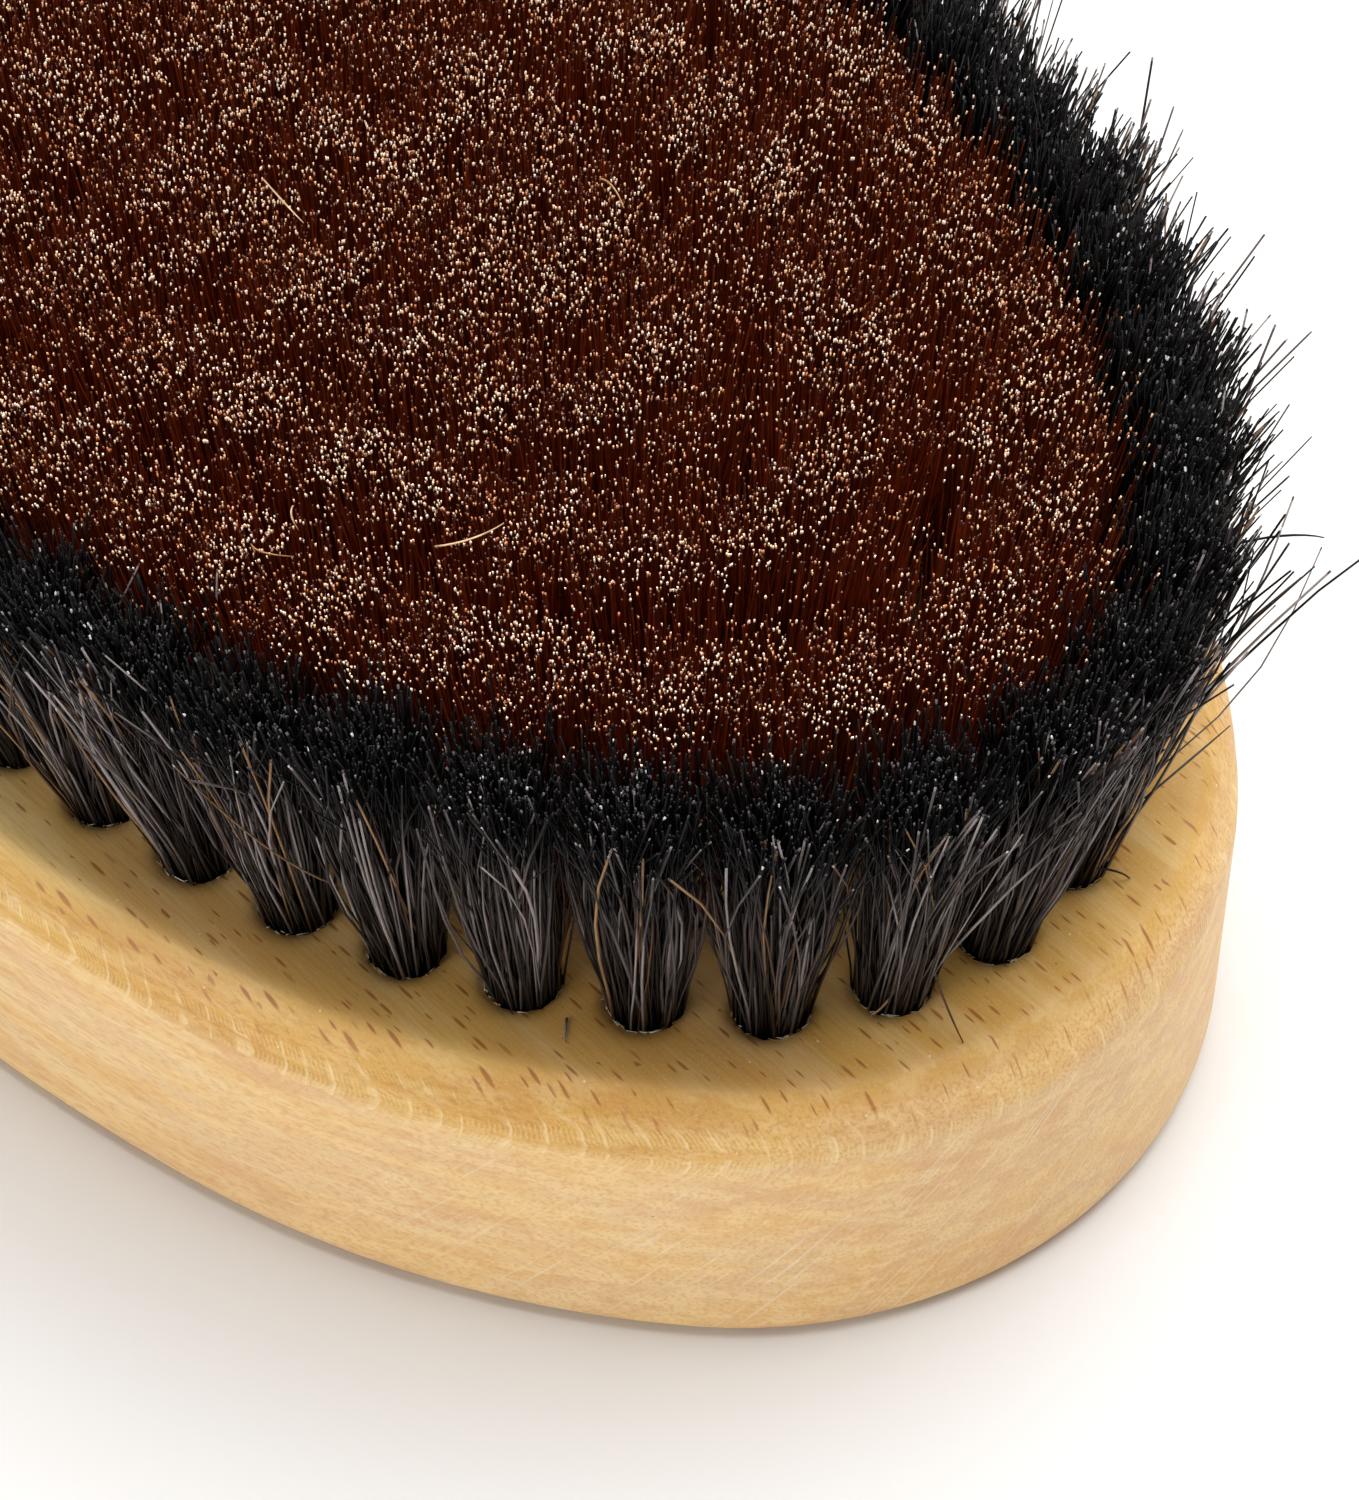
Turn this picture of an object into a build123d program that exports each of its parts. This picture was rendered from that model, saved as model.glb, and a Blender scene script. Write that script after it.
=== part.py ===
"""Oval beech hand brush: a drilled block, a border of horsehair tufts and a field of bronze-wire tufts.

The brush lies on its back. +Z is up, out of the bristles, +X runs along the block and the origin is
the centre of the flat back. Every tuft stands in its own blind hole, over the flat metal anchor that
holds its fold. The outer holes lean outwards, so the bristles fan out to the edge of the block.
"""

import math
import os

from build123d import *

os.makedirs("parts", exist_ok=True)

# ---------------------------------------------------------------- driving dimensions, mm and degrees
# block
block_length = 130.0
block_width = 73.6
block_height = 18.4  # from the back to the bristle face
end_radius = 26.0  # of the arc round each end of the oval
side_sweep = 15.0  # half the angle of the arc along each side
haunch_sweep = 28.0  # angle of the arc that joins a side to an end
shoulder_radius = 5.0  # of the cutter that rounds the edge of the bristle face
shoulder_drop = 3.9  # how far down the wall it cuts; less than its radius leaves a crease at the face
back_edge_radius = 1.5

# holes
hole_diameter = 3.9
hole_depth = 9.0  # along the hole, below the bristle face
rim_margin = 7.0  # from the outline in to the centres of the border holes
border_gap = 6.2  # from the centres of the border holes in to those of the outermost bronze ring
border_tufts_per_side = 23  # horsehair tufts in each half of the border
centre_row_length = 44.0  # between the end holes of the straight row in the middle
edge_lean_angle = 8.5  # outward tilt of the border holes; the rings inside lean in proportion

# tufts
bristle_height = 19.0  # from the bristle face to the trimmed tips
tuft_clearance = 0.05  # between a tuft and the mouth of its hole
tuft_spacing = 0.3  # least gap between the tips of neighbouring tufts
border_facets = 12  # sides of the holes and tufts that can be seen, in the border
field_facets = 6  # and of those hidden in the field

# anchors
anchor_width = 1.6  # along the hole
anchor_thickness = 0.35
anchor_end_clearance = 0.05  # between each end of an anchor and the wall of its hole

# ---------------------------------------------------------------- worked-out sizes
field_rings = ["inner_ring", "middle_ring", "outer_ring"]  # bronze, from the centre row outwards
border_ring = len(field_rings) + 1  # the centre row is ring 0
field_half_length = block_length / 2 - rim_margin - border_gap
field_half_width = block_width / 2 - rim_margin - border_gap
ring_step = min(border_gap, field_half_width / len(field_rings))
hole_radius = hole_diameter / 2
mouth_radius = hole_radius - tuft_clearance  # of a tuft


def arc_radii():
    """Radii of the side and haunch arcs that make a quarter outline reach the length and the width."""
    near, far = math.radians(side_sweep), math.radians(side_sweep + haunch_sweep)
    length_left = block_length / 2 - end_radius * (1 - math.sin(far))
    width_left = block_width / 2 - end_radius * math.cos(far)
    side_x, side_y = math.sin(near), 1 - math.cos(near)
    haunch_x, haunch_y = math.sin(far) - math.sin(near), math.cos(near) - math.cos(far)
    determinant = side_x * haunch_y - haunch_x * side_y
    side_radius = (length_left * haunch_y - haunch_x * width_left) / determinant
    haunch_radius = (side_x * width_left - length_left * side_y) / determinant
    return side_radius, haunch_radius


def half_outline(margin=0):
    """Five tangent arcs over the +Y side of the oval, from its +X end to its -X end."""
    side_radius, haunch_radius = arc_radii()
    end = (end_radius, 90 - side_sweep - haunch_sweep)
    haunch = (haunch_radius, haunch_sweep)
    side = (side_radius, 2 * side_sweep)
    start, heading = (block_length / 2 - margin, 0), (0, 1)
    for radius, sweep in (end, haunch, side, haunch, end):
        arc = JernArc(start=start, tangent=heading, radius=radius - margin, arc_size=sweep)
        start, heading = arc @ 1, arc % 1


def half_ring(ring):
    """Path of the hole centres over the +Y side: the border keeps its margin, the rest are ellipses."""
    with BuildLine(mode=Mode.PRIVATE) as path:
        if ring == border_ring:
            half_outline(rim_margin)
        else:
            share = ring / len(field_rings)
            half_row = centre_row_length / 2
            half_length = half_row + share * (field_half_length - half_row)
            EllipticalCenterArc((0, 0), half_length, share * field_half_width, arc_size=180)
    return path.wire()


def ring_places(path, per_side):
    """Hole mouths evenly along a ring, each with its local X pointing outwards."""
    places = []
    for index in range(2 * per_side):
        side = 1 if index <= per_side else -1
        along = index if side > 0 else 2 * per_side - index
        centre, tangent = path @ (along / per_side), path % (along / per_side)
        heading = math.degrees(math.atan2(tangent.Y, tangent.X)) - 90
        places.append(Location((centre.X, side * centre.Y, block_height), (0, 0, side * heading)))
    return places


def row_places(pitch):
    """Hole mouths along the straight centre row, each with its local X pointing across the row."""
    gaps = int(centre_row_length / pitch)
    step = centre_row_length / gaps
    start = -centre_row_length / 2
    return [Location((start + index * step, 0, block_height), (0, 0, 90)) for index in range(gaps + 1)]


# ---------------------------------------------------------------- hole pattern
# each entry: name, lean, sides of its holes and tufts, and the place of each hole
border_path = half_ring(border_ring)
tuft_pitch = border_path.length / border_tufts_per_side
border = ("border", edge_lean_angle, border_facets, ring_places(border_path, border_tufts_per_side))
field = [("centre_row", 0, field_facets, row_places(tuft_pitch))]
for ring, ring_name in enumerate(field_rings, start=1):
    ring_path = half_ring(ring)
    ring_holes = ring_places(ring_path, int(ring_path.length / tuft_pitch))
    field.append((ring_name, edge_lean_angle * ring / border_ring, field_facets, ring_holes))

border_room = border_path.distance_to(half_ring(len(field_rings)))  # least distance to the ring inside it
tip_radius = (min(tuft_pitch, ring_step, border_room) - tuft_spacing) / 2
flare = math.degrees(math.atan((tip_radius - mouth_radius) / bristle_height))


def section_plane(lean, distance):
    """Plane square to a hole that leans towards +X, at a distance above its mouth along its axis."""
    tilt = math.radians(lean)
    direction = Vector(math.sin(tilt), 0, math.cos(tilt))
    return Plane(direction * distance, x_dir=(direction.Z, 0, -direction.X), z_dir=direction)


def hole_cutter(lean, facets):
    """A blind hole, run out above the face far enough to clear its slanting mouth."""
    run_out = hole_diameter * math.tan(math.radians(lean)) + hole_radius
    with BuildPart() as cutter:
        with BuildSketch(section_plane(lean, -hole_depth)):
            RegularPolygon(hole_radius, facets, major_radius=False, rotation=90 + 180 / facets)
        extrude(amount=hole_depth + run_out)
    return cutter.part


def tuft(lean, facets):
    """A bundle that spreads from the top of its anchor to its tips, which are trimmed level."""
    root = anchor_width - hole_depth
    root_plane = section_plane(lean, root)
    root_radius = mouth_radius + root * math.tan(math.radians(flare))
    reach = (bristle_height + hole_diameter) / math.cos(math.radians(lean))
    with BuildPart() as bundle:
        with BuildSketch(root_plane):
            RegularPolygon(root_radius, facets, major_radius=False, rotation=90 + 180 / facets)
        extrude(amount=reach - root)
        sides = bundle.faces().sort_by(Axis((0, 0, 0), root_plane.z_dir))[1:-1]
        draft(sides, neutral_plane=root_plane, angle=-flare)
        split(bisect_by=Plane.XY.offset(bristle_height), keep=Keep.BOTTOM)
    return bundle.part


def anchor(lean):
    """The flat strip driven in over the fold of a tuft, standing on the floor of its hole."""
    with BuildPart() as strip:
        with BuildSketch(section_plane(lean, -hole_depth)):
            Rectangle(anchor_thickness, hole_diameter - 2 * anchor_end_clearance)
        extrude(amount=anchor_width)
    return strip.part


def save(part, name):
    part.label = name
    export_step(part, f"parts/{name}.step")


# ---------------------------------------------------------------- block
with BuildPart() as block:
    planed_off = shoulder_radius - shoulder_drop  # stock above the face while its edge is rounded
    with BuildSketch():
        with BuildLine():
            half_outline()
            mirror(about=Plane.XZ)
        make_face()
    extrude(amount=block_height + planed_off)
    fillet(block.faces().sort_by(Axis.Z)[-1].edges(), shoulder_radius)
    fillet(block.faces().sort_by(Axis.Z)[0].edges(), back_edge_radius)
    split(bisect_by=Plane.XY.offset(block_height), keep=Keep.BOTTOM)
    for _, lean, facets, places in field + [border]:
        with Locations(*places):
            add(hole_cutter(lean, facets), mode=Mode.SUBTRACT)
save(block.part, "beech_block")

# ---------------------------------------------------------------- horsehair border
_, lean, facets, places = border
for number, place in enumerate(places, start=1):
    with BuildPart() as horsehair_tuft:
        with Locations(place):
            add(tuft(lean, facets))
    save(horsehair_tuft.part, f"horsehair_tuft_{number:02d}")

# ---------------------------------------------------------------- bronze field
for name, lean, facets, places in field:
    with BuildPart() as bronze_tufts:
        with Locations(*places):
            add(tuft(lean, facets))
    save(bronze_tufts.part, f"bronze_tufts_{name}")

# ---------------------------------------------------------------- anchors
for name, lean, _, places in field + [border]:
    with BuildPart() as anchors:
        with Locations(*places):
            add(anchor(lean))
    save(anchors.part, f"anchors_{name}")
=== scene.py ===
"""Oval hand brush lying on its back: strands, wood, floor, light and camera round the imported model."""

import math

import bmesh
import bpy
import numpy as np
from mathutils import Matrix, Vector


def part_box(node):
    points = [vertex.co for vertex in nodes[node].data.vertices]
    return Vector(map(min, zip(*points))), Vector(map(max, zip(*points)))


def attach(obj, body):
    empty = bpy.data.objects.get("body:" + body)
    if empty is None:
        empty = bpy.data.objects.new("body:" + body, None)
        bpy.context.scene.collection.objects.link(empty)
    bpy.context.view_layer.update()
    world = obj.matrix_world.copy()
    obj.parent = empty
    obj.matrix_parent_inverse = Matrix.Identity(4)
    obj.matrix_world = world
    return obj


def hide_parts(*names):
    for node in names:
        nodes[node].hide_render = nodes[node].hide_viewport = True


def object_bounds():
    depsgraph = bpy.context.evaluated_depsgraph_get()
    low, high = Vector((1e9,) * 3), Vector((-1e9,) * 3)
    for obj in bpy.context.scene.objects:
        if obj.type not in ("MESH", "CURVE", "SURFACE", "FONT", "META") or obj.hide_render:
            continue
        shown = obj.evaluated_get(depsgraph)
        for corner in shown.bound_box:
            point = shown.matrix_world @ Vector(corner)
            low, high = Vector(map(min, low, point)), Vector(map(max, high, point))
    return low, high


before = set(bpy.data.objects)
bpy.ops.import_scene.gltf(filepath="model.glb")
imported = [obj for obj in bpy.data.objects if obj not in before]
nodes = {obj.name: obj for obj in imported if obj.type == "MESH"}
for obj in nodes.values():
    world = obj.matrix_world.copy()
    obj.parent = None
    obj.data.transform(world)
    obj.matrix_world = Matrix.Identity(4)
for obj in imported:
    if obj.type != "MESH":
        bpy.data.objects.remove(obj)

MM = 0.001
SHOULDER_DROP = 3.9 * MM  # how far down the wall the rounded shoulder of the block reaches
cad_low, cad_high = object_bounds()
block_low, block_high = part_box("beech_block")
face_height = block_high.z
bristle_height = cad_high.z - face_height
wall_height = face_height - SHOULDER_DROP
BORDER_NODES = sorted(name for name in nodes if name.startswith("horsehair_tuft"))
FIELD_NODES = sorted(name for name in nodes if name.startswith("bronze_tufts"))
ANCHOR_NODES = sorted(name for name in nodes if name.startswith("anchors"))


# ---------------------------------------------------------------- node trees
def colour(red, green, blue):
    """Linear colour of a screen colour given from 0 to 255."""
    shares = [value / 255 for value in (red, green, blue)]
    linear = [s / 12.92 if s <= 0.04045 else ((s + 0.055) / 1.055) ** 2.4 for s in shares]
    return (*linear, 1.0)


class Finish:
    """A material under construction; sockets are passed from call to call."""

    def __init__(self, name):
        self.material = bpy.data.materials.new(name)
        self.material.use_nodes = True
        self.tree = self.material.node_tree
        self.shader = self.tree.nodes["Principled BSDF"]

    def put(self, socket, value):
        if isinstance(value, bpy.types.NodeSocket):
            self.tree.links.new(value, socket)
        else:
            socket.default_value = value

    def node(self, kind, sockets=(), **settings):
        made = self.tree.nodes.new(f"ShaderNode{kind}")
        for key, value in settings.items():
            setattr(made, key, value)
        for key, value in dict(sockets).items():
            self.put(made.inputs[key], value)
        return made

    def maths(self, operation, *values, clamp=False):
        return self.node("Math", enumerate(values), operation=operation, use_clamp=clamp).outputs[0]

    def vector(self, x, y, z=0.0):
        return self.node("CombineXYZ", {"X": x, "Y": y, "Z": z}).outputs[0]

    def millimetres(self):
        """X, Y and Z on the brush, in mm."""
        place = self.node("TexCoord").outputs["Object"]
        scaled = self.node("VectorMath", {0: place, 3: 1 / MM}, operation="SCALE").outputs[0]
        return self.node("SeparateXYZ", {0: scaled}).outputs

    def noise(self, place, scale=1.0, detail=2.0, roughness=0.5):
        sockets = {"Vector": place, "Scale": scale, "Detail": detail, "Roughness": roughness}
        return self.node("TexNoise", sockets).outputs["Fac"]

    def ramp(self, value, low, high, bottom=0.0, top=1.0):
        """value from low to high becomes bottom to top, smoothly, and stays there outside."""
        sockets = {"Value": value, "From Min": low, "From Max": high, "To Min": bottom, "To Max": top}
        return self.node("MapRange", sockets, interpolation_type="SMOOTHSTEP").outputs["Result"]

    def mix(self, share, first, second, blend="MIX"):
        made = self.node("Mix", data_type="RGBA", blend_type=blend)
        for key, value in ((0, share), (6, first), (7, second)):
            self.put(made.inputs[key], value)
        return made.outputs[2]

    def choice(self, value, stops):
        """Colour picked by a value from 0 to 1 out of (share, colour) bands."""
        made = self.node("ValToRGB", {"Fac": value})
        made.color_ramp.interpolation = "CONSTANT"
        elements = made.color_ramp.elements
        start = 0.0
        for index, (share, tint) in enumerate(stops):
            element = elements[index] if index < 2 else elements.new(start)
            element.position = start
            element.color = tint
            start += share
        return made.outputs["Color"]

    def bump(self, height, depth, normal=None):
        """height from 0 to 1 raises the surface by up to depth, in mm, over the given normal."""
        sockets = {"Height": height, "Distance": depth * MM}
        if normal is not None:
            sockets["Normal"] = normal
        self.put(self.shader.inputs["Normal"], self.node("Bump", sockets).outputs["Normal"])

    def set(self, **values):
        for key, value in values.items():
            self.put(self.shader.inputs[key.replace("_", " ")], value)


# ---------------------------------------------------------------- wood
HALF_LENGTH, HALF_WIDTH = block_high.x / MM, block_high.y / MM  # of the block, mm
FIELD_MARGIN = 9.0  # mm, from the outline in to the edge of the bronze field
FLECK_CELL = (1.5, 0.72, 5.0)  # mm along, across and down, with one ray fleck in each
FLECK_SHARPNESS = (2.3, 6.6, 0.6)  # how soon a fleck ends along, across and down its cell
CHATTER_PITCH, CRESCENT_PITCH = 0.26, 1.7  # mm round the shoulder, between cutter marks
SCRATCH_ANGLE = math.radians(52)  # up from the floor
PAINTED_GLINT_SPECK, DARK_SPECK = (1.1, 0.09, 0.7), (5.0, 0.11, 0.6)  # pitch and size in mm, and rarity; the pale specks are painted glints
FACE_BLEND = 1.4  # mm, below the face, over which the shoulder takes on its colour
SOFT_EDGE, RELIEF = 1.4 * MM, 0.03  # radius of the edges as the light sees them; depth of the marks, mm


def stretched(finish, x, y, z, along, across=1.0):
    """Place with the grain drawn out along X, and across the block where its growth layers lie flat."""
    return finish.vector(finish.maths("MULTIPLY", x, along), finish.maths("MULTIPLY", y, across), z)


def distance_round(finish, x, y):
    """Distance round the oval, from its +X end, in mm."""
    turn = finish.maths("ARCTAN2", finish.maths("MULTIPLY", y, HALF_LENGTH / HALF_WIDTH), x)
    swing = finish.maths("SINE", finish.maths("MULTIPLY", turn, 2.0))
    mean, sway = (HALF_LENGTH + HALF_WIDTH) / 2, (HALF_LENGTH - HALF_WIDTH) / 4
    even, uneven = finish.maths("MULTIPLY", turn, mean), finish.maths("MULTIPLY", swing, sway)
    return finish.maths("SUBTRACT", even, uneven)


def ray_flecks(finish, x, y, z):
    """Share of the short dark lens-shaped marks that lie along the grain."""
    cell = finish.vector(*(finish.maths("DIVIDE", at, size) for at, size in zip((x, y, z), FLECK_CELL)))
    rays = finish.node("TexVoronoi", {"Vector": cell, "Scale": 1.0}, feature="F1")
    away = finish.node("VectorMath", {0: cell, 1: rays.outputs["Position"]}, operation="SUBTRACT").outputs[0]
    away = finish.node("VectorMath", {0: away, 1: FLECK_SHARPNESS}, operation="MULTIPLY").outputs[0]
    spread = finish.node("VectorMath", {0: away}, operation="LENGTH").outputs["Value"]
    chance = finish.node("SeparateColor", {0: rays.outputs["Color"]}).outputs
    spread = finish.maths("MULTIPLY", spread, finish.ramp(chance[1], 0.0, 1.0, 0.8, 1.6))
    strength = finish.ramp(chance[0], 0.45, 0.7, 0.04, 1.0)
    return finish.maths("MULTIPLY", finish.ramp(spread, 1.0, 0.45), strength)


def specks(finish, place, pitch, size, rarity):
    """Share of small round specks: one in some cells of the given pitch, in mm."""
    found = finish.node("TexVoronoi", {"Vector": place, "Scale": 1 / pitch}, feature="F1").outputs
    chance = finish.node("SeparateColor", {0: found["Color"]}).outputs[0]
    near = finish.ramp(found["Distance"], size / pitch, 0.4 * size / pitch)
    return finish.maths("MULTIPLY", near, finish.maths("GREATER_THAN", chance, rarity))


def wood_ground(wood, x, z, on_wall, on_face):
    """Wall, shoulder and face colour before grain: lighter at end and foot; painted light on the -X face."""
    tint = wood.mix(on_wall, colour(215, 162, 76), colour(238, 202, 150))
    at_end = wood.ramp(x, 0.8 * HALF_LENGTH, 0.97 * HALF_LENGTH, 0.0, 0.75)
    tint = wood.mix(at_end, tint, colour(234, 192, 138))
    # painted light: the face is made lighter over its -X half, where the tufts shade it
    painted_light_left = wood.ramp(x, 0.75 * HALF_LENGTH, 0.0)
    tint = wood.mix(on_face, tint, wood.mix(painted_light_left, colour(216, 167, 86), colour(255, 222, 148)))
    return wood.mix(wood.ramp(z, 1.8, 0.2), tint, colour(236, 194, 138))


def grained(wood, tint, x, y, z, on_wall, on_face, grain, fibre):
    """The ground colour with its broad streaks, growth layers, fine dark fibres and grit."""
    cloud = wood.noise(stretched(wood, x, y, z, 0.05, 0.35), 0.5, 4, 0.55)
    tint = wood.mix(wood.ramp(cloud, 0.42, 0.64, 0.0, 0.36), tint, colour(220, 154, 88))
    blotch = wood.noise(stretched(wood, x, y, z, 0.2, 0.3), 0.5, 1, 0.3)
    tint = wood.mix(wood.ramp(blotch, 0.40, 0.64, 0.0, 0.34), tint, colour(246, 198, 104))
    layers = wood.maths("MULTIPLY", wood.ramp(grain, 0.44, 0.60), wood.ramp(on_wall, 0.0, 1.0, 0.26, 0.5))
    tint = wood.mix(layers, tint, colour(253, 223, 164))
    dark_fibre = wood.mix(on_wall, colour(190, 132, 62), colour(222, 158, 94))
    strength = wood.ramp(on_face, 0.0, 1.0, 0.45, 0.2)
    tint = wood.mix(wood.maths("MULTIPLY", wood.ramp(fibre, 0.46, 0.64), strength), tint, dark_fibre)
    grit = wood.noise(wood.vector(x, y, z), 7.0, 3, 0.6)
    return wood.mix(wood.ramp(grit, 0.5, 0.8, 0.0, 0.30), tint, colour(244, 222, 178))


def painted_shade_under_field(wood, tint, x, y):
    """The colour with painted shade: the wood between the bronze tufts darkened."""
    along = wood.maths("DIVIDE", x, HALF_LENGTH - FIELD_MARGIN)
    across = wood.maths("DIVIDE", y, HALF_WIDTH - FIELD_MARGIN)
    reach = wood.node("VectorMath", {0: wood.vector(along, across)}, operation="LENGTH").outputs["Value"]
    return wood.mix(wood.ramp(reach, 0.94, 0.8, 0.0, 0.97), tint, colour(34, 17, 8))


def cutter_marks(wood, tint, up, around, grain):
    """The colour with fine chatter and single crescents on the shoulder, and the chatter as a relief."""
    band = wood.maths("MULTIPLY", wood.ramp(up, -1.2, 0.0), wood.ramp(up, 3.2, 1.4))
    curl = wood.maths("MULTIPLY", wood.maths("POWER", wood.maths("SUBTRACT", up, 0.8), 2.0), 0.22)
    phase = wood.maths("ADD", wood.maths("ADD", around, curl), wood.maths("MULTIPLY", grain, 0.6))
    patch = wood.noise(wood.vector(wood.maths("MULTIPLY", around, 0.12), up), 1.0, 2, 0.5)
    ripple = wood.maths("SINE", wood.maths("MULTIPLY", phase, 2 * math.pi / CHATTER_PITCH))
    ripple = wood.maths("MULTIPLY", ripple, wood.maths("MULTIPLY", band, wood.ramp(patch, 0.42, 0.6)))
    tint = wood.mix(wood.ramp(ripple, 0.0, 1.0, 0.0, 0.42), tint, colour(246, 214, 140))
    wander = wood.noise(wood.vector(wood.maths("MULTIPLY", around, 0.3), 0.0), 1.0, 2, 0.5)
    wander = wood.maths("MULTIPLY", wander, 2.5)
    count = wood.maths("ADD", wood.maths("DIVIDE", phase, CRESCENT_PITCH), wander)
    crescent = wood.maths("MULTIPLY", wood.ramp(wood.maths("FRACT", count), 0.80, 0.97), band)
    crescent = wood.maths("MULTIPLY", crescent, wood.ramp(patch, 0.36, 0.55))
    return wood.mix(wood.maths("MULTIPLY", crescent, 0.55), tint, colour(254, 226, 172)), ripple


def sanding_scratches(wood, x, z, around, on_wall):
    """Share of the slanting scratches on the wall, densest round the ends."""
    cosine, sine = math.cos(SCRATCH_ANGLE), math.sin(SCRATCH_ANGLE)
    along = wood.maths("ADD", wood.maths("MULTIPLY", around, cosine), wood.maths("MULTIPLY", z, sine))
    across = wood.maths("SUBTRACT", wood.maths("MULTIPLY", z, cosine), wood.maths("MULTIPLY", around, sine))
    line = wood.vector(wood.maths("MULTIPLY", along, 0.08), wood.maths("MULTIPLY", across, 4.5))
    scratch = wood.ramp(wood.noise(line, 1.0, 3, 0.7), 0.54, 0.72)
    ends = wood.ramp(wood.maths("ABSOLUTE", x), 0.5 * HALF_LENGTH, 0.9 * HALF_LENGTH, 0.12, 1.0)
    return wood.maths("MULTIPLY", wood.maths("MULTIPLY", scratch, on_wall), ends)


def beech():
    """Waxed beech: grain along X, ray flecks, cutter marks on the shoulder and scratches on the wall."""
    wood = Finish("beech")
    x, y, z = wood.millimetres()
    around = distance_round(wood, x, y)
    up = wood.maths("SUBTRACT", z, wall_height / MM)
    on_wall = wood.ramp(up, 1.0, -0.6)
    on_face = wood.ramp(z, face_height / MM - FACE_BLEND, face_height / MM)
    grain = wood.noise(stretched(wood, x, y, z, 0.06, 0.45), 1.1, 5, 0.6)
    fibre = wood.noise(stretched(wood, x, y, z, 0.05), 5.0, 4, 0.6)

    tint = grained(wood, wood_ground(wood, x, z, on_wall, on_face), x, y, z, on_wall, on_face, grain, fibre)
    fleck = wood.maths("MULTIPLY", ray_flecks(wood, x, y, z), wood.ramp(up, 0.6, 3.8, 0.0, 0.8))
    tint = wood.mix(fleck, tint, colour(166, 90, 34))
    # painted shade on the wood between the bronze tufts
    tint = painted_shade_under_field(wood, tint, x, y)
    tint, ripple = cutter_marks(wood, tint, up, around, grain)
    scratch = sanding_scratches(wood, x, z, around, on_wall)
    tint = wood.mix(wood.maths("MULTIPLY", scratch, 0.5), tint, colour(254, 240, 216))
    # painted glints: small pale specks on the wood
    painted_glints = wood.maths("MULTIPLY", specks(wood, wood.vector(x, y, z), *PAINTED_GLINT_SPECK), 0.6)
    tint = wood.mix(painted_glints, tint, colour(255, 246, 226))
    tint = wood.mix(specks(wood, wood.vector(y, z, x), *DARK_SPECK), tint, colour(84, 54, 30))
    wood.set(Base_Color=tint, Roughness=wood.ramp(grain, 0.3, 0.8, 0.42, 0.58), Specular_IOR_Level=0.4)

    relief = 0.0
    for mark, weight in ((ripple, 0.4), (fibre, 0.6), (scratch, -0.3), (fleck, -0.2)):
        relief = wood.maths("ADD", relief, wood.maths("MULTIPLY", mark, weight))
    soft_edges = wood.node("Bevel", {"Radius": SOFT_EDGE}, samples=8).outputs["Normal"]
    wood.bump(relief, RELIEF, soft_edges)
    return wood.material


def dress_block():
    block = nodes["beech_block"]
    block.data.materials.clear()
    block.data.materials.append(beech())
    weld = block.modifiers.new("weld", "WELD")
    weld.merge_threshold = 0.001 * MM


# ---------------------------------------------------------------- strands
SHADES = 64  # columns of the strand map, each with its own colour
OPEN_SHARE = 0.4  # of the columns, for hairs that stand in the open
TIP_START, TIP_BLEND = 0.99, 0.002  # share of its length where a strand turns to its tip's colour
FOOT_CAP, TIP_CAP = (0.01, 0.01), (0.997, 0.003)  # middle and half height of the end caps on the map
COLUMN_MARGIN = 0.2  # share of a column left free at each side
SIDES = 3  # of a strand
SEEDS = dict(hollows=11, tufts=7, rims=21, loose=5)  # of the random draws


def strand_finish(
    name, body_tints_and_painted_light, tip_tints_and_glints, roughness, metallic=0.0, specular=0.3, painted_top_shade=0.0,
    shade_start=0.5, shade_full=0.9, unshaded=0.0, painted_glow=0.0, painted_root_shade=0.0,
):
    """Colours by strand and along it, on the map that strand_piece lays out.

    The first tip tints go to the first columns of the map; in the hair and the wire the light ones are
    partly painted glints, and the body tints partly painted sheen and light. painted_top_shade is painted
    shade on the upper part of the stems, except in the first columns, up to the unshaded share. glow is
    painted shade on the stems of the first columns instead, so that those of the last ones show up warmer,
    as painted warm light. painted_root_shade is painted shade on all stems at the foot.
    """
    finish = Finish(name)
    place = finish.node("SeparateXYZ", {0: finish.node("UVMap", uv_map="OFBake").outputs[0]}).outputs
    column = finish.maths("FLOOR", finish.maths("MULTIPLY", place[0], SHADES))
    chance = finish.node("TexWhiteNoise", {"W": column}, noise_dimensions="1D").outputs["Value"]
    share = finish.maths("DIVIDE", column, SHADES)
    apart, along = finish.maths("MULTIPLY", column, 3.7), finish.maths("MULTIPLY", place[1], 9.0)
    streak = finish.noise(finish.vector(apart, along))
    black = colour(0, 0, 0)
    tint = finish.choice(chance, body_tints_and_painted_light)
    tint = finish.mix(finish.ramp(streak, 0.35, 0.7, 0.0, 0.35), tint, black)
    # painted shade on the upper stems
    shaded = finish.maths("GREATER_THAN", column, unshaded * SHADES - 0.5)
    shade = finish.maths("MULTIPLY", shaded, painted_top_shade)
    shade = finish.maths("MULTIPLY", shade, finish.ramp(place[1], shade_start, shade_full))
    tint = finish.mix(shade, tint, black)
    # painted shade on the stems of the first columns, so that the last ones look lit warmer
    tint = finish.mix(finish.ramp(share, 0.2, 0.9, painted_glow, 0.0), tint, black)
    # painted shade at the foot of the stems
    tint = finish.mix(finish.ramp(place[1], 0.05, 0.5, painted_root_shade, 0.0), tint, black)
    # tip colours: in the hair and the wire the light ones are partly painted glints
    tip = finish.choice(share, tip_tints_and_glints)
    tint = finish.mix(finish.ramp(place[1], TIP_START, TIP_START + TIP_BLEND), tint, tip)
    finish.set(
        Base_Color=tint, Roughness=finish.ramp(streak, 0.3, 0.7, roughness * 0.85, roughness * 1.15),
        Metallic=metallic, Specular_IOR_Level=specular,
    )
    finish.bump(streak, 0.01)
    return finish.material


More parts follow.
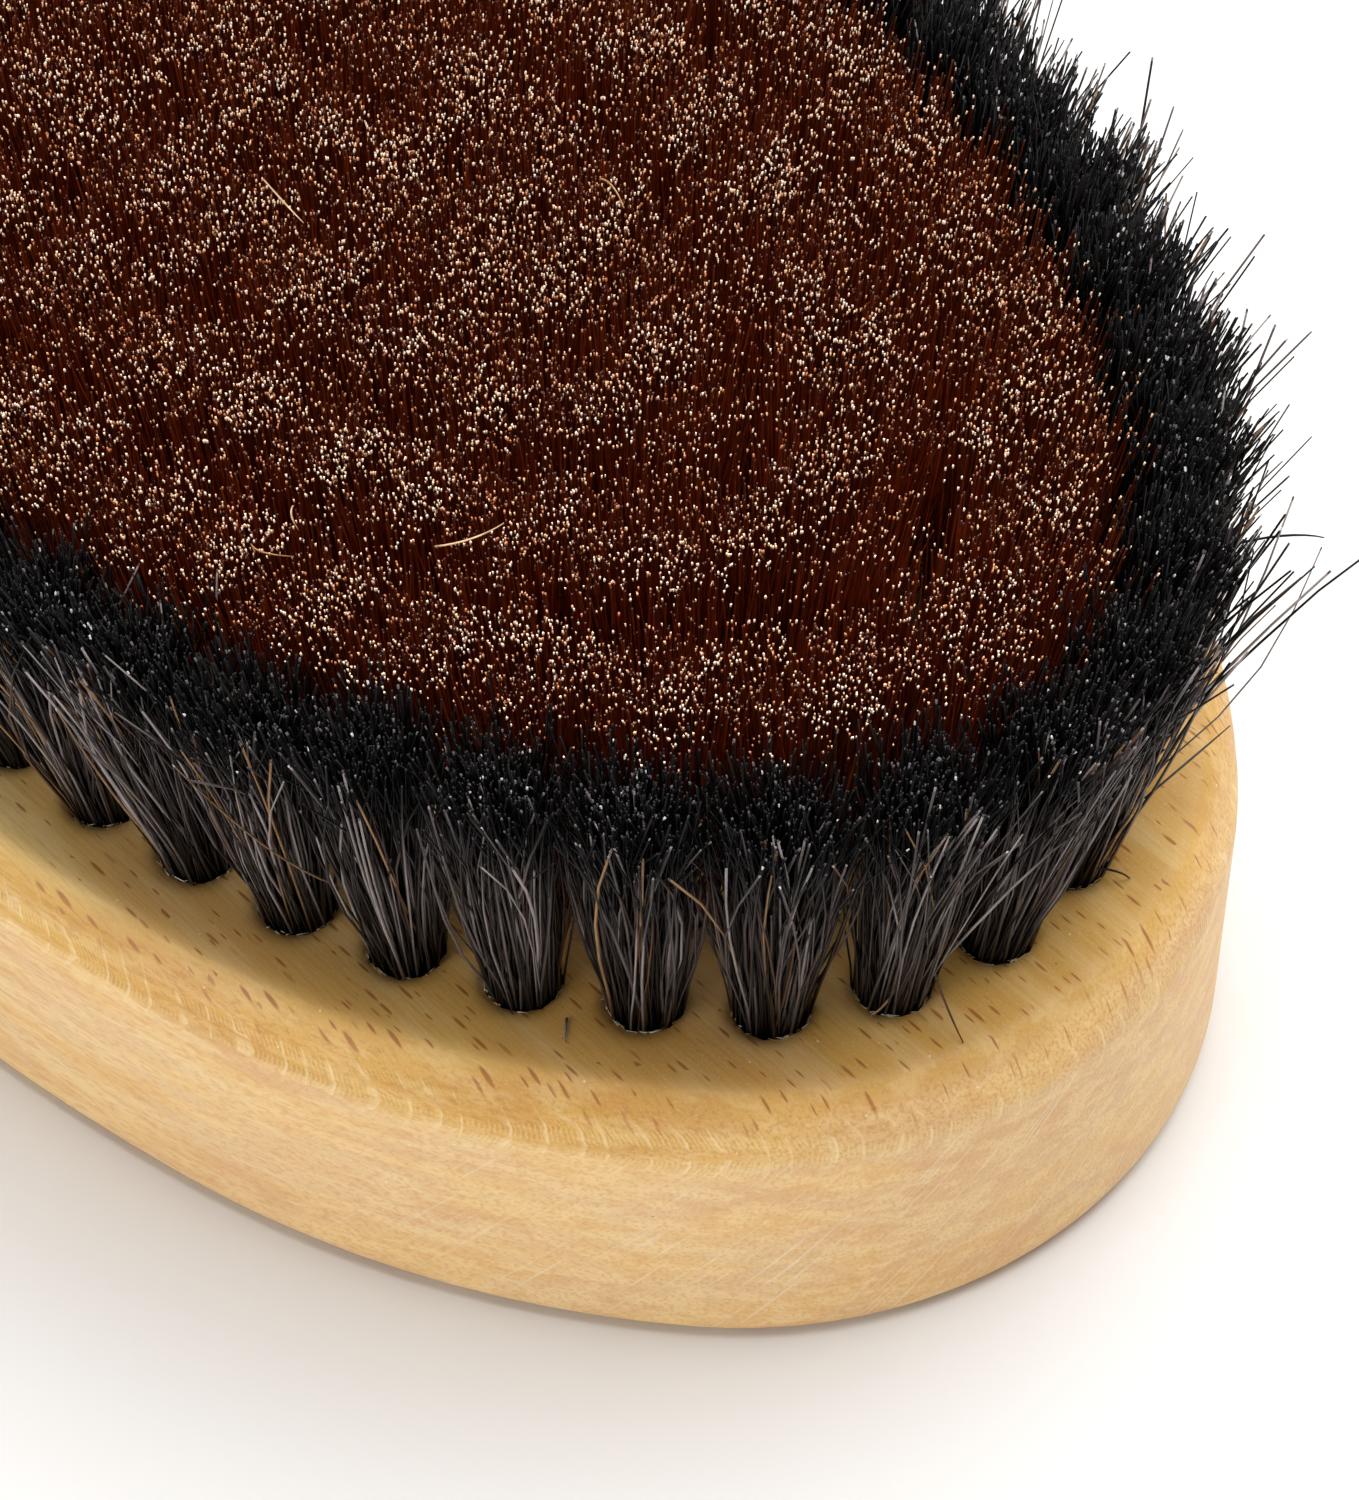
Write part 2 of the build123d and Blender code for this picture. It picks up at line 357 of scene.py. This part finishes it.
def strand_map(column, stations):
    """Places on the map of all corners of the faces: the walls, then the feet, then the tips.

    Every strand lies in a column of the map, and its walls run up it from foot to tip.
    """
    low, wide = (column + COLUMN_MARGIN) / SHADES, (1 - 2 * COLUMN_MARGIN) / SHADES
    walls = (len(column), len(stations) - 1, SIDES)
    left = np.broadcast_to(low[:, None, None] + wide * np.arange(SIDES) / SIDES, walls)
    right = left + wide / SIDES
    bottom = np.broadcast_to(stations[:-1, None], walls)
    top = np.broadcast_to(stations[1:, None], walls)
    wall_map = np.stack([left, bottom, right, bottom, right, top, left, top], axis=-1)
    angle = 2 * np.pi * np.arange(SIDES) / SIDES
    cap_u = low[:, None] + wide * (0.5 + 0.5 * np.cos(angle))
    foot_v, tip_v = (middle + half * np.sin(angle) + 0 * cap_u for middle, half in (FOOT_CAP, TIP_CAP))
    foot = np.stack([cap_u[:, ::-1], foot_v[:, ::-1]], axis=-1)
    tip = np.stack([cap_u, tip_v], axis=-1)
    return np.concatenate([part.reshape(-1, 2) for part in (wall_map, foot, tip)])


def strand_piece(name, paths, radii, column, stations, finish, replaced, rng):
    """One piece of closed tubes. paths is (strands, rings, 3) and radii (strands, rings), in metres.

    column gives each strand its place on the strand map.
    """
    strands, rings, _ = paths.shape
    along = paths[:, -1] - paths[:, 0]
    along /= np.linalg.norm(along, axis=1, keepdims=True)
    across = np.cross(along, rng.normal(size=(strands, 3)))
    across /= np.linalg.norm(across, axis=1, keepdims=True)
    beside = np.cross(along, across)
    angle = 2 * np.pi * np.arange(SIDES) / SIDES
    circle = np.cos(angle)[None, :, None] * across[:, None] + np.sin(angle)[None, :, None] * beside[:, None]
    vertices = paths[:, :, None] + radii[:, :, None, None] * circle[:, None]

    index = np.arange(strands * rings * SIDES).reshape(strands, rings, SIDES)
    turned = np.roll(index, -1, axis=2)
    walls = np.stack([index[:, :-1], turned[:, :-1], turned[:, 1:], index[:, 1:]], axis=-1).reshape(-1, 4)
    caps = np.concatenate([index[:, 0, ::-1], index[:, -1]])
    mesh = bpy.data.meshes.new(name)
    mesh.from_pydata(vertices.reshape(-1, 3), [], walls.tolist() + caps.tolist())
    mesh.polygons.foreach_set("use_smooth", [True] * len(walls) + [False] * len(caps))
    laid = strand_map(column, stations)
    mesh.uv_layers.new(name="OFBake").uv.foreach_set("vector", laid.astype(np.float32).ravel())
    mesh.materials.append(finish)

    piece = bpy.data.objects.new(name, mesh)
    bpy.context.scene.collection.objects.link(piece)
    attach(piece, "root")
    if replaced:
        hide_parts(*replaced)


def turn_order(axis):
    """Key that sorts tufts round the brush, and along X where they stand in one row."""
    x, y = (round(float(value), 6) + 0.0 for value in axis[0][:2])
    return math.atan2(y, x), x


def tuft_axes(name):
    """(mouth, tip) of the axis of each tuft in a CAD node: at the bristle face and at the trimmed tips."""
    mesh = bmesh.new()
    mesh.from_mesh(nodes[name].data)
    bmesh.ops.remove_doubles(mesh, verts=mesh.verts, dist=0.001 * MM)
    left, axes = set(mesh.verts), []
    while left:
        island, edge_of_search = set(), [left.pop()]
        while edge_of_search:
            vertex = edge_of_search.pop()
            island.add(vertex)
            near = {edge.other_vert(vertex) for edge in vertex.link_edges} & left
            left -= near
            edge_of_search.extend(near)
        places = np.array(sorted(vertex.co.to_tuple() for vertex in island))
        high = places[:, 2] > face_height
        foot, tip = places[~high].mean(axis=0), places[high].mean(axis=0)
        mouth = foot + (tip - foot) * (face_height - foot[2]) / (tip[2] - foot[2])
        axes.append((mouth, tip))
    mesh.free()
    return sorted(axes, key=turn_order)


def room_round(axes):
    """Mean distance of each tip from its four nearest neighbours, as a share of the least such distance."""
    tips = np.array([tip[:2] for _, tip in axes])
    apart = np.linalg.norm(tips[:, None] - tips[None], axis=2)
    nearest = np.sort(apart, axis=1)[:, 1:5].mean(axis=1)
    return nearest / nearest.min()


def unit_disc(rng, count):
    radius, turn = np.sqrt(rng.random(count)), 2 * np.pi * rng.random(count)
    return np.stack([radius * np.cos(turn), radius * np.sin(turn)], axis=1)


def hollows(place):
    """Smooth uneven field over the brush, from 0 to 1, that is high where few tips stand up to the trim."""
    rng = np.random.default_rng(SEEDS["hollows"])
    count = 9
    turns = rng.random(count) * math.pi
    rates = rng.uniform(0.4, 1.5, count) / MM
    starts = rng.random(count) * 2 * math.pi
    waves = [
        np.sin(rate * (place[:, 0] * math.cos(turn) + place[:, 1] * math.sin(turn)) + start)
        for turn, rate, start in zip(turns, rates, starts)
    ]
    return 1 / (1 + np.exp(-1.4 * np.sum(waves, axis=0)))


def strand_ends(rng, look):
    """Feet and tips of the strands of a tuft on a disc of radius 1, and how wildly each one reaches out."""
    count = look["count"]
    root = unit_disc(rng, count)
    clumps = unit_disc(rng, look["clumps"])[rng.integers(0, look["clumps"], count)]
    end = root + look["crossing"] * (unit_disc(rng, count) - root) + rng.normal(0, look["stray"], (count, 2))
    end += look["clumping"] * (clumps - end)
    wild = np.where(rng.random(count) < look["wild"], look["wild_reach"], 1.0)
    return root, end, wild


def strand_heights(rng, place, reach, wild, in_open, look):
    """Height of each strand above the face, from where its tip stands on the brush and in its tuft."""
    count = look["count"]
    trim = rng.normal(0, look["ragged"], count) - look["droop"] * reach**2
    odd = rng.random(count)
    low = look["short"] + look["hollow"] * hollows(place)
    trim += np.where(odd < low, -rng.random(count) * look["short_by"], 0)
    trim += np.where(odd > 1 - look["long"], rng.random(count) * look["long_by"], 0)
    trim += np.where(wild > 1, rng.random(count) * look["wild_by"], 0)
    cut = in_open & (rng.random(count) < look["open_short"]) & (wild == 1)
    trim -= np.where(cut, rng.random(count) * look["open_short_by"], 0)
    return bristle_height + trim


def spread_tuft(rng, mouth, tip, room, look):
    """Strand paths of one tuft, tight in the mouth of its hole and spreading to the trimmed tips.

    room widens the spread. With the paths comes whether each strand stands on the outer side of the
    tuft, in the open.
    """
    count, tip_radius = look["count"], room * look["tip_radius"]
    root, end, wild = strand_ends(rng, look)
    reach = np.linalg.norm(end, axis=1)
    end *= wild[:, None]
    lean = (tip - mouth)[:2] * look["lean_share"] * wild[:, None]
    outward = end @ lean[0] / (np.linalg.norm(lean[0]) + 1e-9)
    in_open = (outward > look["outer_open"]) & (look["open_short"] > 0)
    height = strand_heights(rng, mouth[:2] + lean + end * tip_radius, reach, wild, in_open, look)
    grown = height[:, None] / bristle_height
    softness = np.clip(grown, 0, 1) ** 2
    bow, hook = (softness * rng.normal(0, look[kind], (count, 2)) for kind in ("bow", "hook"))

    stations = look["stations"]
    lift = stations * (1 + look["root_depth"] / bristle_height) - look["root_depth"] / bristle_height
    bend = np.clip(lift, 0, 1)[None, :, None]
    rise = (lift * grown)[:, :, None]
    fan = np.clip(rise, 0, None) ** look["fan"]
    offset = (1 - fan) * root[:, None] * look["mouth_radius"] + fan * end[:, None] * tip_radius
    offset = offset + bow[:, None] * np.sin(np.pi * bend) + hook[:, None] * bend**3
    flat = mouth[:2] + lean[:, None] * rise + offset
    return np.concatenate([flat, face_height + rise * bristle_height], axis=2), in_open


def strand_radii(rng, count, look):
    """Radius at each station: an even stem that narrows towards the tip."""
    stem = look["radius"] * rng.uniform(0.7, 1.3, count)[:, None]
    return stem * np.interp(look["stations"], look["taper"][0], look["taper"][1])[None]


# How a tuft grows. Its count of strands start on the disc of mouth_radius, root_depth below the face, and
# end on the disc of tip_radius, which its room widens by most_room at the most. crossing, stray and
# clumping, to one of its clumps, move them off their straight way there, lean_share says how far they
# follow the lean of the hole, fan how late they spread, and bow and hook bend them. Lengths vary by ragged
# and droop. The shares short, long, wild and open_short of the strands differ by up to what their _by says,
# hollow adds short ones where tips are few, wild ones lean wild_reach times as far, and outer_open is how
# far out on its tuft a strand stands in the open. radius and taper give the thickness, and stations the
# places of the rings along a strand.
HAIR = dict(
    count=500, clumps=14, clumping=0.25, crossing=0.3, stray=0.12, ragged=0.35 * MM, droop=0.1 * MM,
    short=0.05, hollow=0.2, short_by=4 * MM, long=0.04, long_by=2.2 * MM,
    wild=0.018, wild_reach=1.5, wild_by=3 * MM, outer_open=0.45, open_short=0.35, open_short_by=8 * MM,
    lean_share=1.2, bow=0.6 * MM, hook=1.0 * MM, root_depth=1.5 * MM, fan=1.3, mouth_radius=1.85 * MM,
    tip_radius=4.6 * MM, radius=0.08 * MM,
    stations=np.array([0.0, 0.2, 0.4, 0.6, 0.8, 1.0]), taper=((0, 0.5, 1), (1, 0.95, 0.7)),
)
WIRE = dict(
    count=640, clumps=14, clumping=0.1, crossing=0.2, stray=0.15, ragged=0.25 * MM, droop=0.05 * MM,
    short=0.05, hollow=0.6, short_by=2.2 * MM, long=0.0, long_by=0.0,
    wild=0.0, wild_reach=1.0, wild_by=0.0, outer_open=0.0, open_short=0.0, open_short_by=0.0,
    lean_share=1.0, bow=0.25 * MM, hook=0.35 * MM, root_depth=1.5 * MM, fan=0.5, mouth_radius=1.9 * MM,
    tip_radius=4.9 * MM, radius=0.046 * MM, most_room=1.32,
    stations=np.array([0.0, 0.5, TIP_START, 1.0]), taper=((0, TIP_START, 1), (1, 1, 1.2)),
)
PIECE_TUFTS = dict(horsehair=10, bronze_wire=15)  # the most tufts that one piece of strands takes in


def portions(items, most):
    """The items in order, in the fewest near-equal portions that hold no more than most each."""
    count = math.ceil(len(items) / most)
    return [items[len(items) * i // count : len(items) * (i + 1) // count] for i in range(count)]


def horsehair():
    return strand_finish(
        "horsehair",
        # stem tints: black hair, the greys partly painted sheen
        [
            (0.36, colour(40, 34, 35)), (0.32, colour(94, 85, 84)), (0.20, colour(160, 148, 145)),
            (0.06, colour(98, 66, 48)), (0.03, colour(166, 128, 90)), (0.03, colour(224, 208, 184)),
        ],
        # tip tints: the light greys are painted glints, the darkest the hair's own black
        [
            (0.03, colour(214, 208, 198)), (0.17, colour(130, 124, 122)), (0.2, colour(70, 66, 66)),
            (0.02, colour(200, 196, 192)), (0.09, colour(96, 93, 94)), (0.49, colour(22, 21, 22)),
        ],
        0.35, specular=0.15, painted_top_shade=0.95, shade_start=0.55, shade_full=0.88, unshaded=OPEN_SHARE,
        painted_root_shade=0.75,
    )


def bronze_wire():
    return strand_finish(
        "bronze_wire",
        # stem tints: the wire's red-brown, made brighter as painted light deep among the wires
        [(0.4, colour(200, 84, 38)), (0.35, colour(208, 92, 42)), (0.25, colour(190, 76, 34))],
        # tip tints: the bright ones are the cut metal and partly painted glints, the last dark one painted
        # shade
        [
            (0.36, colour(255, 230, 204)), (0.20, colour(252, 200, 156)), (0.14, colour(200, 126, 82)),
            (0.30, colour(84, 36, 17)),
        ],
        0.35, metallic=0.2, specular=0.5, painted_top_shade=0.6, shade_start=0.86, shade_full=0.98, painted_glow=0.6,
    )


def dress_tufts(hair, wire):
    rng = np.random.default_rng(SEEDS["tufts"])
    for number, names in enumerate(portions(BORDER_NODES, PIECE_TUFTS["horsehair"]), start=1):
        axes = [(*axis, 1.0) for name in names for axis in tuft_axes(name)]
        dress_group(f"hair_{number}", axes, HAIR, hair, names, rng)
    field = [(name, axis) for name in FIELD_NODES for axis in tuft_axes(name)]
    border = [axis for name in BORDER_NODES for axis in tuft_axes(name)]
    room = np.minimum(room_round([axis for _, axis in field] + border), WIRE["most_room"])
    for name in FIELD_NODES:
        roomed = [(*axis, share) for (owner, axis), share in zip(field, room) if owner == name]
        for number, axes in enumerate(portions(roomed, PIECE_TUFTS["bronze_wire"]), start=1):
            title = f"{name.replace('bronze_tufts', 'wires')}_{number}"
            dress_group(title, axes, WIRE, wire, [name], rng)


def dress_group(title, axes, look, finish, replaced, rng):
    """One piece of strands for tufts given as (mouth, tip, room), with painted shade on tips in hollows."""
    tufts = [spread_tuft(rng, *axis, look) for axis in axes]
    paths, in_open = (np.concatenate(part) for part in zip(*tufts))
    radii = strand_radii(rng, len(paths), look)
    share = rng.random(len(paths)) ** (1 / (1 + 2 * look["hollow"] * hollows(paths[:, -1, :2])))
    # hair in the open takes the first columns: painted glints on its tips and no painted shade on its tops
    if look["outer_open"]:
        share = np.where(in_open, OPEN_SHARE * share, OPEN_SHARE + (1 - OPEN_SHARE) * share)
    column = np.floor(SHADES * share).astype(int)
    strand_piece(title, paths, radii, column, look["stations"], finish, replaced, rng)


RIM_FIBRES = 34  # round each mouth
RIM_REACH = (1.90 * MM, 2.02 * MM)  # from the centre of the mouth
RIM_FRAY, RIM_FRAYED = 0.25 * MM, 0.2  # how much further out some end, and the share of them
RIM_SWING = 0.18  # radians, from the middle of a fibre to each end
RIM_LOW, RIM_HIGH = (0.0, 0.05 * MM), (0.02 * MM, 0.16 * MM)  # of its two ends above the face


def dress_rims():
    """Pale chipped fibres round the mouths of the border holes."""
    finish = strand_finish(
        "rim_fibre",
        [(0.5, colour(214, 204, 180)), (0.3, colour(196, 170, 126)), (0.2, colour(232, 232, 226))],
        [(1.0, colour(226, 220, 204))], 0.6,
    )
    rng = np.random.default_rng(SEEDS["rims"])
    mouths = np.array([mouth for name in BORDER_NODES for mouth, _ in tuft_axes(name)])
    centre = np.repeat(mouths, RIM_FIBRES, axis=0)
    count = len(centre)
    turn = rng.random(count) * 2 * math.pi
    swing = rng.uniform(-RIM_SWING, RIM_SWING, count)
    start_reach, end_reach = rng.uniform(*RIM_REACH, (2, count))
    end_reach += np.where(rng.random(count) < RIM_FRAYED, rng.random(count) * RIM_FRAY, 0)
    low, high = rng.uniform(*RIM_LOW, count), rng.uniform(*RIM_HIGH, count)
    ends = [
        centre + np.stack([reach * np.cos(angle), reach * np.sin(angle), lift], axis=1)
        for angle, reach, lift in ((turn - swing, start_reach, low), (turn + swing, end_reach, high))
    ]
    radii = rng.uniform(0.02, 0.05, (count, 1)) * MM * np.array([[1.0, 0.5]])
    column = rng.integers(0, SHADES, count)
    paths = np.stack(ends, axis=1)
    strand_piece("rim_fibres", paths, radii, column, np.array([0.0, 1.0]), finish, None, rng)


# single strands, each by its first, middle and last place, in mm: hairs by how far they are in from the
# +X end, across from the centre line and above the face, wires along and across the block and above the tips
DARK_HAIRS = [
    ((5.5, 8.5, 5), (5.5, 11.5, 5.5), (5.5, 14.5, 6)),
    ((6.5, 5, 1.5), (5.5, 6.5, 1), (5, 7.5, 0)),
    ((5.5, -6, 4), (4.5, -6, 2), (3, -6, 0)),
    ((17, -19.5, 0), (16.5, -20, 0), (16, -20.5, 0)),
    ((9.5, 17, 14), (7.5, 19, 15), (6, 20.5, 15)),
]
PALE_HAIRS = [
    ((37, -29.5, 4), (36.5, -31.5, 9), (37.5, -33.5, 16)),
    ((27, -25.5, 6), (28.5, -28.5, 10), (31, -31.5, 16)),
    ((22, -23.5, 12), (21.5, -23.5, 14.5), (21, -23.5, 17)),
    ((10, -12, 5.5), (10, -12, 9), (10.5, -12.5, 12)),
    ((12, -15.5, 12), (11, -15, 14), (10.5, -14, 15)),
    ((7, -8.5, 0.5), (6.5, -8, 1.5), (6.5, -7, 2.5)),
    ((21, -18.5, 4), (20.5, -20, 6), (20, -21, 8)),
]
LOOSE_WIRES = [
    ((7.5, -5, 0), (10, -5.5, 0.3), (11.5, -5.5, 0)),
    ((27.5, -21.5, 0), (28.5, -21.5, 0.2), (29.5, -20.5, 0)),
    ((33.5, -15, 0), (34.5, -13.5, 0.3), (34.5, -11.5, 0)),
    ((27, -18.5, 0.2), (27.5, -19, 0.2), (28, -19, -0.4)),
    ((19, 8, 0), (20, 8, 0.2), (21.5, 7.5, 0)),
]


LOOSE_RINGS = 9  # of a loose strand


def arcs_through(places, rings):
    """Smooth paths through the first, middle and last place of each strand."""
    first, middle, last = (np.array(part)[:, None] for part in zip(*places))
    pull = 2 * middle - (first + last) / 2
    share = np.linspace(0, 1, rings)[None, :, None]
    return (1 - share) ** 2 * first + 2 * share * (1 - share) * pull + share**2 * last


def dress_loose(hair):
    pale_hair = strand_finish(
        "pale_hair", [(0.6, colour(150, 118, 86)), (0.4, colour(208, 192, 164))],
        [(1.0, colour(214, 200, 176))], 0.4, specular=0.2,
    )
    bright_wire = strand_finish(
        "loose_wire", [(0.5, colour(214, 160, 108)), (0.5, colour(236, 196, 150))],
        [(1.0, colour(255, 236, 206))], 0.35, metallic=0.2,
    )
    from_end, along = np.array([-1, 1, 1]) * MM, np.array([1, 1, 1]) * MM
    end = np.array([block_high.x, 0, face_height])
    tips = np.array([0, 0, face_height + bristle_height])
    rng = np.random.default_rng(SEEDS["loose"])
    for name, places, scale, origin, radius, finish, slot in (
        ("dark_hairs", DARK_HAIRS, from_end, end, 0.08 * MM, hair, "horsehair"),
        ("pale_hairs", PALE_HAIRS, from_end, end, 0.07 * MM, pale_hair, "horsehair"),
        ("loose_wires", LOOSE_WIRES, along, tips, 0.06 * MM, bright_wire, "bronze_wire"),
    ):
        paths = arcs_through(places, LOOSE_RINGS) * scale + origin + np.array([0, 0, radius])
        stations = np.linspace(0, 1, LOOSE_RINGS)
        radii = radius * np.ones((len(places), 1)) * np.interp(stations, [0, 0.6, 1], [1, 1, 0.5])
        strand_piece(name, paths, radii, np.arange(len(places)), stations, finish, None, rng)


# ---------------------------------------------------------------- anchors
def dress_anchors():
    strip = Finish("anchor_strip")
    x, y, z = strip.millimetres()
    wear = strip.noise(strip.vector(x, y, z), 3.0, 3, 0.6)
    tint = strip.mix(strip.ramp(wear, 0.3, 0.7), colour(176, 150, 96), colour(130, 104, 62))
    strip.set(Base_Color=tint, Roughness=strip.ramp(wear, 0.3, 0.7, 0.3, 0.5), Metallic=1.0)
    strip.bump(wear, 0.01)
    for name in ANCHOR_NODES:
        nodes[name].data.materials.clear()
        nodes[name].data.materials.append(strip.material)


# ---------------------------------------------------------------- floor, light and camera
FLOOR_REACH = 3.0  # metres, from the middle to each side
FLOOR_DULL, FLOOR_BRIGHT = (0.78, 0.78, 0.78, 1.0), (0.79, 0.79, 0.79, 1.0)
WORLD_TINT = (1.0, 0.97, 0.93, 1.0)
WORLD_LIGHT, WORLD_SEEN = 0.28, 1.0  # strength on the object, and as the camera sees it
CAMERA_AZIMUTH, CAMERA_ELEVATION = math.radians(48.54), math.radians(48.84)
CAMERA_DISTANCE, CAMERA_LENS = 0.2528, 118.0  # metres and mm, on a 36 mm long side
CAMERA_AIM = (0.5925, 0.1018)  # shares of half the block towards its +X end and its -Y side
# name: metres right, away from the camera and up from the middle of the face; size in metres; watts
LAMPS = {"key": (0.16, 0.2, 0.8, 1.05, 12.8), "fill": (-0.65, -0.6, 0.3, 0.6, 3.05)}


def make_floor():
    """A sheet of faintly uneven white paper."""
    mesh = bpy.data.meshes.new("floor")
    corners = [(FLOOR_REACH * x, FLOOR_REACH * y, 0) for x, y in ((-1, -1), (1, -1), (1, 1), (-1, 1))]
    mesh.from_pydata(corners, [], [(0, 1, 2, 3)])
    floor = bpy.data.objects.new("floor", mesh)
    bpy.context.scene.collection.objects.link(floor)
    paper = Finish("floor_paper")
    x, y, z = paper.millimetres()
    cloud = paper.noise(paper.vector(x, y, z), 0.02, 2, 0.5)
    tint = paper.mix(paper.ramp(cloud, 0.3, 0.7), FLOOR_DULL, FLOOR_BRIGHT)
    paper.set(Base_Color=tint, Roughness=0.9, Specular_IOR_Level=0.1)
    mesh.materials.append(paper.material)


def make_world():
    world = bpy.data.worlds.new("studio")
    bpy.context.scene.world = world
    world.use_nodes = True
    tree = world.node_tree
    background = tree.nodes["Background"]
    background.inputs["Color"].default_value = WORLD_TINT
    path = tree.nodes.new("ShaderNodeLightPath")
    pick = tree.nodes.new("ShaderNodeMix")
    pick.inputs[2].default_value, pick.inputs[3].default_value = WORLD_LIGHT, WORLD_SEEN
    tree.links.new(path.outputs["Is Camera Ray"], pick.inputs[0])
    tree.links.new(pick.outputs[0], background.inputs["Strength"])


def camera_axes():
    """Unit vectors to the right of the camera, away from it along the floor, and back to it."""
    right = Vector((math.cos(CAMERA_AZIMUTH), math.sin(CAMERA_AZIMUTH), 0))
    away = Vector((-math.sin(CAMERA_AZIMUTH), math.cos(CAMERA_AZIMUTH), 0))
    back = Vector((0, 0, math.sin(CAMERA_ELEVATION))) - away * math.cos(CAMERA_ELEVATION)
    return right, away, back


def make_lamps():
    right, away, _ = camera_axes()
    centre = Vector((0, 0, face_height))
    for name, (sideways, behind, above, size, power) in LAMPS.items():
        data = bpy.data.lights.new(name, "AREA")
        data.shape = "DISK"
        data.size = size
        data.energy = power
        lamp = bpy.data.objects.new(name, data)
        lamp.location = centre + sideways * right + behind * away + Vector((0, 0, above))
        lamp.rotation_mode = "QUATERNION"
        lamp.rotation_quaternion = (centre - lamp.location).to_track_quat("-Z", "Y")
        bpy.context.scene.collection.objects.link(lamp)


def make_camera():
    _, _, back = camera_axes()
    data = bpy.data.cameras.new("camera")
    data.sensor_width = 36
    data.lens = CAMERA_LENS
    data.clip_start = 0.01
    camera = bpy.data.objects.new("camera", data)
    aim = Vector((CAMERA_AIM[0] * block_high.x, CAMERA_AIM[1] * block_low.y, face_height))
    camera.location = aim + back * CAMERA_DISTANCE
    camera.rotation_mode = "QUATERNION"
    camera.rotation_quaternion = back.to_track_quat("Z", "Y")
    bpy.context.scene.collection.objects.link(camera)
    bpy.context.scene.camera = camera


make_camera()
make_lamps()
make_world()
make_floor()
dress_block()
dress_anchors()
hair = horsehair()
dress_tufts(hair, bronze_wire())
dress_rims()
dress_loose(hair)

scene = bpy.context.scene
scene.view_settings.view_transform = "Standard"
